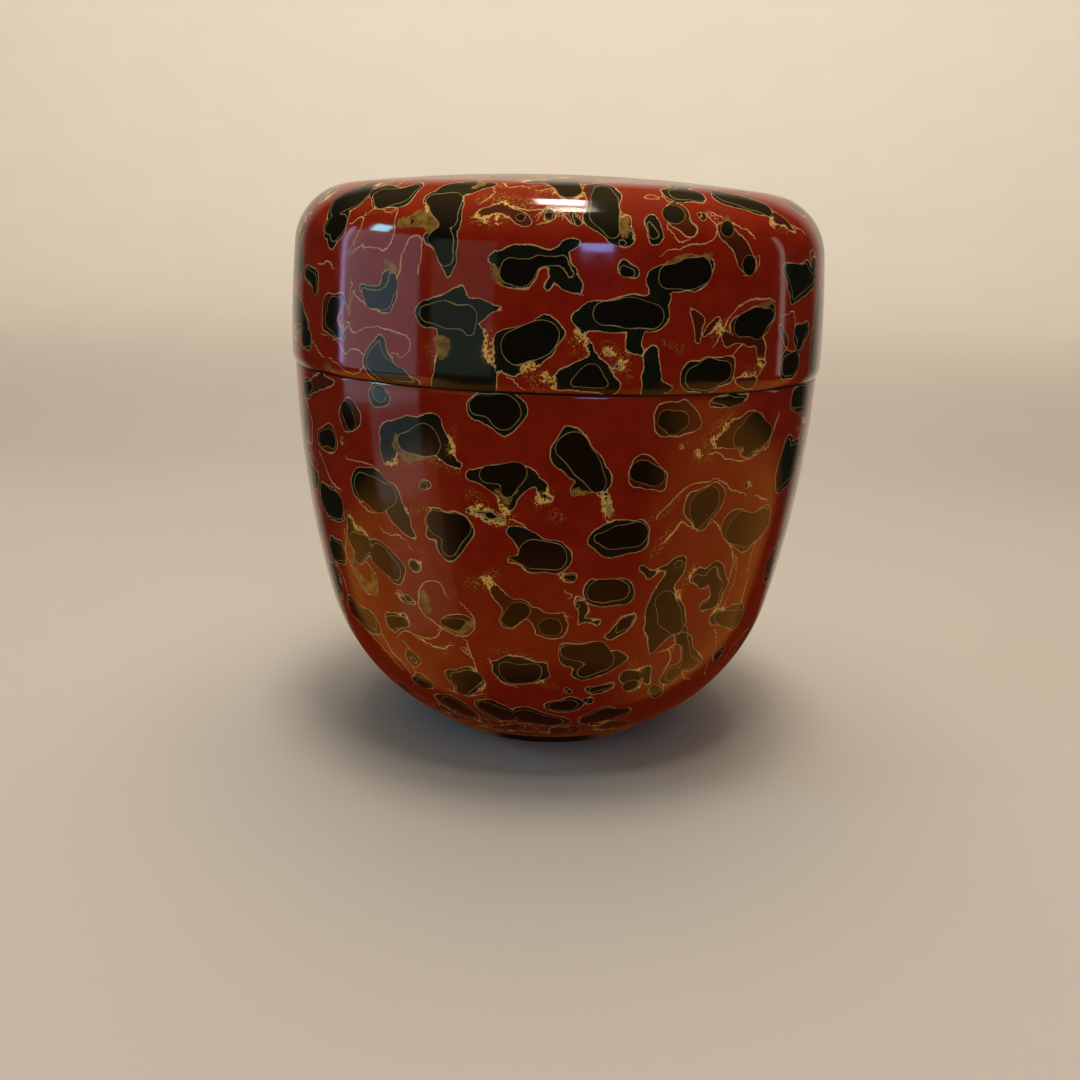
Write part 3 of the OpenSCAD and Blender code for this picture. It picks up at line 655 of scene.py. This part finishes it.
def cloth_material():
    """Hemp cloth: threads over and under each other, wound round the axis."""
    t = Tree("hemp_cloth")
    thread_mm = 0.55
    cloth_r = 33.0 * MM
    x, y, z = t.parts(t.where)
    turn = t.math("MULTIPLY", t.math("ARCTAN2", y, x), cloth_r)
    pitch = 2 * math.pi / (thread_mm * MM)
    warp = t.math("SINE", t.math("MULTIPLY", turn, pitch))
    weft = t.math("SINE", t.math("MULTIPLY", z, pitch))
    weave = t.ramp(t.math("MULTIPLY", warp, weft), -1.0, 1.0)
    fibre = t.noise(0.2, 3.0, 0.7)
    colour = t.mix(weave, (0.30, 0.22, 0.13), (0.58, 0.47, 0.31))
    colour = t.mix(t.ramp(fibre, 0.4, 0.7, 0.0, 0.4), colour, (0.42, 0.32, 0.19))
    t.set(Base_Color=colour, Roughness=t.ramp(fibre, 0.3, 0.7, 0.85, 1.0))
    t.bump(weave, 0.12)
    return t.material


# ---- outlines: chains of tangent arcs, as in the CAD source ----


def angle_of(centre, point):
    return math.atan2(point[1] - centre[1], point[0] - centre[0])


def circles_meet(p, rp, q, rq, side):
    """Where two circles meet, on the left of the way from p to q if side is 1, or on its right if -1."""
    dx, dz = q[0] - p[0], q[1] - p[1]
    d = math.hypot(dx, dz)
    a = (rp * rp - rq * rq + d * d) / (2 * d)
    h = side * math.sqrt(rp * rp - a * a)
    return p[0] + (a * dx - h * dz) / d, p[1] + (a * dz + h * dx) / d


def arc(centre, r, a, b, step):
    """Points along an arc from angle a to angle b, about one step apart."""
    count = max(2, math.ceil(abs(b - a) * r / step))
    turns = [a + (b - a) * i / count for i in range(count + 1)]
    return [(centre[0] + r * math.cos(k), centre[1] + r * math.sin(k)) for k in turns]


def arcs(start, step, *parts):
    """Points along arcs that run into one another. Each part is (centre, radius, the angle where it ends)."""
    points = []
    for centre, r, end in parts:
        points += arc(centre, r, start, end, step)[1 if points else 0:]
        start = end
    return points


class Shape:
    """The caddy's arcs, worked out from the frame."""

    def __init__(self):
        lid_low, lid_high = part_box("lid_pattern_lacquer")
        coat_low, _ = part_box("body_pattern_lacquer")
        _, lining_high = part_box("body_lining")
        _, foot_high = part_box("foot_lacquer")
        self.lid_r = lid_high.x / MM
        self.height = lid_high.z / MM
        self.seam = lid_low.z / MM
        self.foot_r = foot_high.x / MM
        self.foot_h = coat_low.z / MM
        self.lip_z = lining_high.z / MM - LIP_R
        self.bore_r = self.lid_r - LID_WALL
        self.collar_r = self.bore_r - FIT_GAP
        self.well_r = self.collar_r - COLLAR_WALL
        self.make_body()
        self.make_lid()
        self.make_well()

    def make_body(self):
        body_r = self.lid_r - OVERHANG
        self.side_c = (body_r - math.sqrt(SIDE_R**2 - (self.seam - SIDE_Z) ** 2), SIDE_Z)
        foot = (self.foot_r, self.foot_h)
        self.belly_c = circles_meet(self.side_c, SIDE_R - BELLY_R, foot, BELLY_R, 1)
        self.belly_top = angle_of(self.side_c, self.belly_c)
        a = math.asin((self.seam - EDGE_DROP - SIDE_Z) / SIDE_R)
        self.edge_a = a
        reach = SIDE_R - EDGE_R
        self.edge_c = (self.side_c[0] + reach * math.cos(a), self.side_c[1] + reach * math.sin(a))

    def make_lid(self):
        side_z = self.seam + LID_EDGE_H
        self.lid_side_c = (self.lid_r - SIDE_R, side_z)
        self.lid_edge_c = (self.lid_r - LID_EDGE_R, side_z)
        self.dome_c = (0.0, self.height - DOME_R)
        self.shoulder_c = circles_meet(
            self.lid_side_c, SIDE_R - LID_SHOULDER_R, self.dome_c, DOME_R - LID_SHOULDER_R, 1)
        self.lid_side_top = angle_of(self.lid_side_c, self.shoulder_c)
        self.dome_edge = angle_of(self.dome_c, self.shoulder_c)
        ceiling = DOME_R - LID_TOP_T
        run = self.bore_r - LID_CORNER_R
        self.corner_c = (run, self.dome_c[1] + math.sqrt((ceiling - LID_CORNER_R) ** 2 - run**2))
        self.corner_a = angle_of(self.dome_c, self.corner_c)

    def make_well(self):
        self.well_side_r = SIDE_R - (self.side_c[0] + SIDE_R - self.well_r)
        self.floor_c = (0.0, FLOOR_Z + WELL_FLOOR_R)
        self.well_corner_c = circles_meet(
            self.side_c, self.well_side_r - WELL_CORNER_R, self.floor_c, WELL_FLOOR_R - WELL_CORNER_R, -1)
        self.well_high = angle_of(self.side_c, self.well_corner_c)
        self.well_low = angle_of(self.floor_c, self.well_corner_c)

    def foot_corner(self, t):
        """Where the belly at depth t meets the foot's wall at the same depth."""
        run = self.foot_r - t - self.belly_c[0]
        return self.foot_r - t, self.belly_c[1] - math.sqrt((BELLY_R - t) ** 2 - run**2)

    def body_side(self, t, top_a, step):
        """The body's side and belly at depth t, from angle top_a down to the foot."""
        foot_a = angle_of(self.belly_c, self.foot_corner(t))
        side = (self.side_c, SIDE_R - t, self.belly_top)
        return arcs(top_a, step, side, (self.belly_c, BELLY_R - t, foot_a))

    def body_face(self):
        """The patterned face of the body, from the seam down."""
        top = math.asin((self.seam - self.edge_c[1]) / EDGE_R)
        edge = arc(self.edge_c, EDGE_R, top, self.edge_a, EDGE_STEP)
        return edge + self.body_side(0.0, self.edge_a, FINE_STEP)[1:]

    def body_back(self):
        top = math.asin((self.seam - SIDE_Z) / (SIDE_R - COAT_T))
        return self.body_side(COAT_T, top, HIDDEN_STEP)

    def lid_side(self, t, step, edge_step):
        """The lid's outside at depth t, from the rim up to the axis."""
        edge_a = math.asin(-LID_EDGE_H / (LID_EDGE_R - t))
        edge = arc(self.lid_edge_c, LID_EDGE_R - t, edge_a, 0.0, edge_step)
        side = (self.lid_side_c, SIDE_R - t, self.lid_side_top)
        shoulder = (self.shoulder_c, LID_SHOULDER_R - t, self.dome_edge)
        dome = (self.dome_c, DOME_R - t, math.pi / 2)
        return edge + arcs(0.0, step, side, shoulder, dome)[1:]

    def lid_hollow(self, t, z, step):
        """The lid's inside at depth t outside its lacquered face, from height z up to the axis."""
        corner = (self.corner_c, LID_CORNER_R + t, self.corner_a)
        ceiling = (self.dome_c, DOME_R - LID_TOP_T + t, math.pi / 2)
        return [(self.bore_r + t, z)] + arcs(0.0, step, corner, ceiling)

    def well(self, t, step):
        """The tea well at depth t outside its face, from the lip down to the axis."""
        side = (self.side_c, self.well_side_r + t, self.well_high)
        corner = (self.well_corner_c, WELL_CORNER_R + t, self.well_low)
        floor = (self.floor_c, WELL_FLOOR_R + t, -math.pi / 2)
        return arcs(math.asin((self.lip_z - SIDE_Z) / side[1]), step, side, corner, floor)


def body_lining_outline(shape):
    """Closed outline: well, lip, collar and shoulder, and back under them."""
    face = shape.well(0.0, PLAIN_STEP)
    back = shape.well(LINING_T, HIDDEN_STEP)
    inner = (face[0][0] + LIP_R, shape.lip_z)
    outer = (shape.collar_r - LIP_R, shape.lip_z)
    thin = LIP_R - LINING_T
    coat_r = shape.side_c[0] + math.sqrt((SIDE_R - COAT_T) ** 2 - (shape.seam - SIDE_Z) ** 2)
    low = shape.seam - LINING_T
    return (face[::-1]
            + arc(inner, LIP_R, math.pi, math.pi / 2, LIP_STEP)[1:]
            + arc(outer, LIP_R, math.pi / 2, 0.0, LIP_STEP)
            + [(shape.collar_r, shape.seam), (coat_r, shape.seam), (coat_r, low),
               (shape.collar_r - LINING_T, low)]
            + arc(outer, thin, 0.0, math.pi / 2, HIDDEN_LIP_STEP)
            + arc((back[0][0] + thin, shape.lip_z), thin, math.pi / 2, math.pi, HIDDEN_LIP_STEP)
            + back[1:])


def lid_lining_outline(shape):
    """Closed outline: the lid's hollow, its lacquered rim, and back behind them."""
    rim = shape.seam + LINING_T
    face = shape.lid_hollow(0.0, shape.seam, PLAIN_STEP)
    back = shape.lid_hollow(LINING_T, rim, HIDDEN_STEP)
    edge_r = shape.lid_edge_c[0] + math.sqrt((LID_EDGE_R - COAT_T) ** 2 - LID_EDGE_H**2)
    return face[::-1] + [(edge_r, shape.seam), (edge_r, rim)] + back


def foot_outline(shape):
    """Closed outline: the foot's wall, ring, recess and underside."""
    def line(t):
        ring_in = shape.foot_r - RING_W + t
        return [(shape.foot_r - t, t), (ring_in, t), (ring_in, RECESS_H + t), (0.0, RECESS_H + t)]

    return [shape.foot_corner(0.0)] + line(0.0) + line(COAT_T)[::-1] + [shape.foot_corner(COAT_T)]


# ---- turned meshes ----


def turned(name, outline, turns):
    """Turns a closed outline of (r, z) about Z, faces outwards. A point on the axis becomes one vertex."""
    angles = np.arange(turns) * (2 * math.pi / turns)
    ends = zip(outline, outline[1:] + outline[:1], strict=True)
    if sum(a[0] * b[1] - b[0] * a[1] for a, b in ends) < 0:
        outline = outline[::-1]
    verts, rows = [], []
    for r, z in outline:
        first = len(verts)
        if r < ON_AXIS:
            verts.append((0.0, 0.0, z * MM))
            rows.append([first] * turns)
        else:
            verts.extend((r * MM * math.cos(a), r * MM * math.sin(a), z * MM) for a in angles)
            rows.append([first + j for j in range(turns)])
    faces = []
    for low, high in zip(rows, rows[1:] + rows[:1], strict=True):
        if low[0] == low[1] and high[0] == high[1]:
            continue
        for j in range(turns):
            k = (j + 1) % turns
            corners = [low[j], low[k], high[k], high[j]]
            faces.append(tuple(dict.fromkeys(corners)))
    mesh = bpy.data.meshes.new(name)
    mesh.from_pydata(verts, [], faces)
    mesh.shade_smooth()
    mesh.set_sharp_from_angle(angle=CREASE)
    piece = bpy.data.objects.new(name, mesh)
    bpy.context.scene.collection.objects.link(piece)
    return piece


# ---- the pattern's fields ----

FAR = 3.0  # millimetres: the fields count no further than this
SAME_PLACE = 1e-9  # square millimetres: stands in for the run between two discs at one place


def lattice_noise(points, size, rng):
    """Smooth noise from -1 to 1 at points, with features of that size."""
    cells = 32
    values = rng.uniform(-1.0, 1.0, (cells, cells, cells))
    at = points / size + 1000.0  # so that no cell's number is below zero
    low = np.floor(at).astype(int)
    f = at - low
    f = f * f * (3 - 2 * f)
    total = np.zeros(len(points))
    for dx in (0, 1):
        for dy in (0, 1):
            for dz in (0, 1):
                weight = (np.abs(1 - dx - f[:, 0]) * np.abs(1 - dy - f[:, 1]) * np.abs(1 - dz - f[:, 2]))
                i, j, k = (low + (dx, dy, dz)).T % cells
                total += weight * values[i, j, k]
    return total


def warp(points, size, reach, rng):
    """Points moved about smoothly, so that the chains of discs lose their regular edges."""
    return points + reach * np.stack([lattice_noise(points, size, rng) for _ in range(3)], 1)


class Face:
    """A patterned face: its line of (r, z) from the seam, measured along its length."""

    def __init__(self, line):
        self.line = np.array(line)
        steps = np.hypot(*np.diff(self.line, axis=0).T)
        self.along = np.concatenate([[0.0], np.cumsum(steps)])

    def point(self, azimuth, distance):
        """A point in millimetres, from degrees round from the front and millimetres from the seam."""
        r = self.radius(distance)
        z = np.interp(distance, self.along, self.line[:, 1])
        a = math.radians(azimuth)
        return np.array([r * math.sin(a), -r * math.cos(a), z])

    def radius(self, distance):
        return float(np.interp(distance, self.along, self.line[:, 0]))

    def chain(self, discs):
        """Discs as (points, radii)."""
        return np.array([self.point(d[0], d[1]) for d in discs]), np.array([d[2] for d in discs])


def smaller(a, b, blend):
    """The smaller of two distances, rounded where they cross."""
    h = np.clip(0.5 + 0.5 * (b - a) / blend, 0.0, 1.0)
    return b + (a - b) * h - blend * h * (1 - h)


def chain_distance(points, centres, radii, blend=0.5):
    """Signed distance to a chain of discs joined by tapered rods."""
    if len(centres) == 1:
        return np.linalg.norm(points - centres[0], axis=1) - radii[0]
    best = None
    for a, b, ra, rb in zip(centres, centres[1:], radii, radii[1:], strict=False):
        run = b - a
        t = np.clip((points - a) @ run / max(run @ run, SAME_PLACE), 0.0, 1.0)
        d = np.linalg.norm(points - a - t[:, None] * run, axis=1) - (ra + t * (rb - ra))
        best = d if best is None else smaller(best, d, blend)
    return best


def near_to(points, centres, spare):
    """The numbers of the points in a ball round a run of centres, with that much to spare."""
    middle = (centres.min(0) + centres.max(0)) / 2
    reach = np.linalg.norm(centres - middle, axis=1).max() + spare
    return np.flatnonzero(((points - middle) ** 2).sum(1) < reach**2)


def lay(field, points, centres, radii, grow=0.0):
    """Lays one chain into a field, near that chain only. grow widens it."""
    near = near_to(points, centres, radii.max() + FAR)
    if len(near):
        d = chain_distance(points[near], centres, radii) - grow
        field[near] = np.minimum(field[near], d)


def rim_width(radii):
    """The even rim of coat that shows round a dab: narrow round a small one."""
    return min(0.42, 0.12 + 0.22 * float(radii.max()))


def rounded(run):
    """A run of points with its corners cut twice."""
    for _ in range(2):
        early = 0.75 * run[:-1] + 0.25 * run[1:]
        late = 0.25 * run[:-1] + 0.75 * run[1:]
        run = np.concatenate([run[:1], np.stack([early, late], axis=1).reshape(-1, 3), run[-1:]])
    return run


def lay_thread(side, gap, points, normals, centres):
    """Lays one thread: side is the distance to the nearest thread with a sign for its side, gap has none."""
    near = near_to(points, centres, FAR)
    for a, b in zip(centres, centres[1:], strict=False):
        run = b - a
        if not run.any():
            continue
        away = points[near] - a
        t = np.clip(away @ run / (run @ run), 0.0, 1.0)
        d = np.linalg.norm(away - t[:, None] * run, axis=1)
        hand = np.sign((np.cross(normals[near], run) * away).sum(1))
        nearer = d < gap[near]
        side[near[nearer]] = (d * hand)[nearer]
        gap[near[nearer]] = d[nearer]


def vectors_of(items, name):
    """A vector property of each of a mesh's items, as rows."""
    values = np.zeros(len(items) * 3)
    items.foreach_get(name, values)
    return values.reshape(-1, 3)


def pattern_fields(piece, face, layout, rng):
    """Stores the pattern's distances, in millimetres, on the piece's vertices."""
    mesh = piece.data
    points = vectors_of(mesh.vertices, "co") / MM
    normals = vectors_of(mesh.vertex_normals, "vector")
    smooth = warp(points, 3.2, 0.45, rng)
    ragged = warp(warp(warp(points, 3.2, 0.5, rng), 1.5, 0.28, rng), 0.8, 0.12, rng)
    names = ("dab", "skirt", "ochre", "gilt_and_highlight", "rust", "thread", "thread_gap")
    fields = {name: np.full(len(points), FAR) for name in names}
    for dab in layout["dabs"]:
        centres, radii = face.chain(dab)
        lay(fields["dab"], smooth, centres, radii)
        lay(fields["skirt"], ragged, centres, radii, rim_width(radii))
    for part, name in (("skirts", "skirt"), ("ochre", "ochre"), ("gilt_and_highlight", "gilt_and_highlight"), ("rust", "rust")):
        for discs in layout[part]:
            lay(fields[name], ragged, *face.chain(discs))
    for run in layout["threads"]:
        centres, _ = face.chain([(a, s, 0.0) for a, s in run])
        lay_thread(fields["thread"], fields["thread_gap"], ragged, normals, rounded(centres))
    for name, values in fields.items():
        mesh.attributes.new(name, "FLOAT", "POINT").data.foreach_set("value", values.astype(np.float32))


# ---- the pattern out of sight of the front, strewn by rule ----


def step_aside(face, disc, heading, step):
    """Where a step across the face leads to, as (azimuth, millimetres from the seam)."""
    a, s = disc[:2]
    turn = math.degrees(step * math.cos(heading) / max(face.radius(s), LEAST_TURN_R))
    return a + turn, s + step * math.sin(heading)


def wander(rng, face, disc, steps, stride, shrink):
    """A chain that starts at a disc and wanders off across the face."""
    chain = [disc]
    heading = rng.uniform(0.0, 2 * math.pi)
    for _ in range(steps):
        heading += rng.uniform(-1.2, 1.2)
        place = step_aside(face, chain[-1], heading, stride * rng.uniform(0.7, 1.3))
        chain.append((*place, chain[-1][2] * rng.uniform(*shrink)))
    return chain


def loop_round(rng, face, disc, reach):
    """A thread that runs most of the way round a disc."""
    start = rng.uniform(0.0, 2 * math.pi)
    turns = [start + 0.6 * i for i in range(rng.integers(5, 11))]
    return [step_aside(face, disc, turn, reach * rng.uniform(0.75, 1.25)) for turn in turns]


def strewn(face, rng, placed, zone, sizes, spacing, tries, layout):
    """Adds islands, gilt and threads over a zone of the face, clear of the islands already placed."""
    azimuths, low, high = zone
    widest = face.line[:, 0].max()
    for _ in range(tries):
        s = rng.uniform(low, high)
        azimuth = rng.uniform(*azimuths)
        size = rng.uniform(*sizes)
        here = face.point(azimuth, s)
        others = np.array(placed)
        gaps = np.linalg.norm(others[:, :3] - here, axis=1) - others[:, 3]
        if rng.random() > face.radius(s) / widest or gaps.min() < size + spacing:
            continue
        dab = wander(rng, face, (azimuth, s, size * 0.8), rng.integers(1, 4), size * 0.9, (0.7, 1.0))
        skirt = []
        if rng.random() < SKIRT_SHARE:
            skirt = [(a, d, r + rng.uniform(0.3, 0.9)) for a, d, r in dab]
            skirt += wander(rng, face, skirt[rng.integers(len(skirt))], 2, size * 1.2, (0.4, 0.7))
            layout["skirts"].append(skirt)
        placed.extend((*face.point(a, d), r) for a, d, r in dab + skirt)
        layout["dabs"].append(dab)
        if rng.random() < RUST_SHARE:
            layout["rust"].append([(a, d, r + 1.5) for a, d, r in dab])
        if rng.random() < GILT_SHARE:
            layout["gilt_and_highlight"].append(wander(rng, face, (azimuth, s + size, 0.5), 2, 1.5, (0.8, 1.2)))
        if rng.random() < OCHRE_SHARE:
            layout["ochre"].append(wander(rng, face, (azimuth, s - size, 0.5), 2, 1.3, (0.8, 1.2)))
        if rng.random() < THREAD_SHARE:
            layout["threads"].append(loop_round(rng, face, (azimuth, s), size + rng.uniform(1.3, 2.2)))


def laid_out(face, rng, by_hand, hand_to, sizes):
    """The listed layout, filled out with strewn islands where it stops."""
    layout = {name: list(part) for name, part in by_hand.items()}
    islands = by_hand["dabs"] + by_hand["skirts"]
    placed = [(*face.point(a, s), r) for discs in islands for a, s, r in discs]
    beside = ((SEEN_AZIMUTH, 360.0 - SEEN_AZIMUTH), 0.5, hand_to)
    beyond = ((0.0, 360.0), hand_to, face.along[-1])
    for zone in (beside, beyond):
        strewn(face, rng, placed, zone, sizes, STREWN_GAP, STREWN_TRIES, layout)
        strewn(face, rng, placed, zone, SPECK_RADII, SPECK_GAP, SPECK_TRIES, layout)
    return layout


# ---- the pieces ----


def dress(coat, body, material):
    """Gives a coat its material and slot, the body it moves with, and the CAD node it stands for."""
    coat.data.materials.append(material)
    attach(coat, body)
    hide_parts(coat.name.removesuffix("_coat"))


def make_coats(shape):
    rng = np.random.default_rng(SEED)
    pattern = pattern_material(shape.seam)
    black = black_lacquer_material()
    fronts = {"body": shape.body_face(), "lid": shape.lid_side(0.0, FINE_STEP, LID_EDGE_STEP)}
    backs = {"body": shape.body_back(), "lid": shape.lid_side(COAT_T, HIDDEN_STEP, HIDDEN_EDGE_STEP)}
    for side, front in fronts.items():
        face = Face(front)
        layout = laid_out(face, rng, BY_HAND[side], HAND_TO[side], STREWN_RADII[side])
        coat = turned(f"{side}_pattern_lacquer_coat", front + backs[side][::-1], TURNS)
        pattern_fields(coat, face, layout, rng)
        dress(coat, side, pattern)
    for name, body, outline in (("body_lining", "body", body_lining_outline(shape)),
                                ("lid_lining", "lid", lid_lining_outline(shape)),
                                ("foot_lacquer", "body", foot_outline(shape))):
        coat = turned(f"{name}_coat", outline, LINING_TURNS)
        dress(coat, body, black)


def dress_inner_layers(frame):
    """The CAD layers under the lacquer keep their meshes and get materials."""
    looks = {"core": wood_material(), "cloth": cloth_material(), "ground": ground_material()}
    for name, node in frame["nodes"].items():
        kind = name.rsplit("_", 1)[-1]
        if kind in looks:
            node.data.materials.clear()
            node.data.materials.append(looks[kind])


make_camera()
bpy.context.scene.view_settings.view_transform = "Standard"
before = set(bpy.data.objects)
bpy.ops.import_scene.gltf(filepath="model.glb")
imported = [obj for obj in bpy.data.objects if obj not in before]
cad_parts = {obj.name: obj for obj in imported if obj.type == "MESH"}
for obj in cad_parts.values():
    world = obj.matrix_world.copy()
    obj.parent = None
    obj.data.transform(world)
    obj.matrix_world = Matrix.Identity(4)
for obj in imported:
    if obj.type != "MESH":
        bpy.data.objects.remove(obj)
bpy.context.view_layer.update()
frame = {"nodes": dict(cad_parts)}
make_world()
make_lights()
make_floor()
dress_inner_layers(frame)
make_coats(Shape())
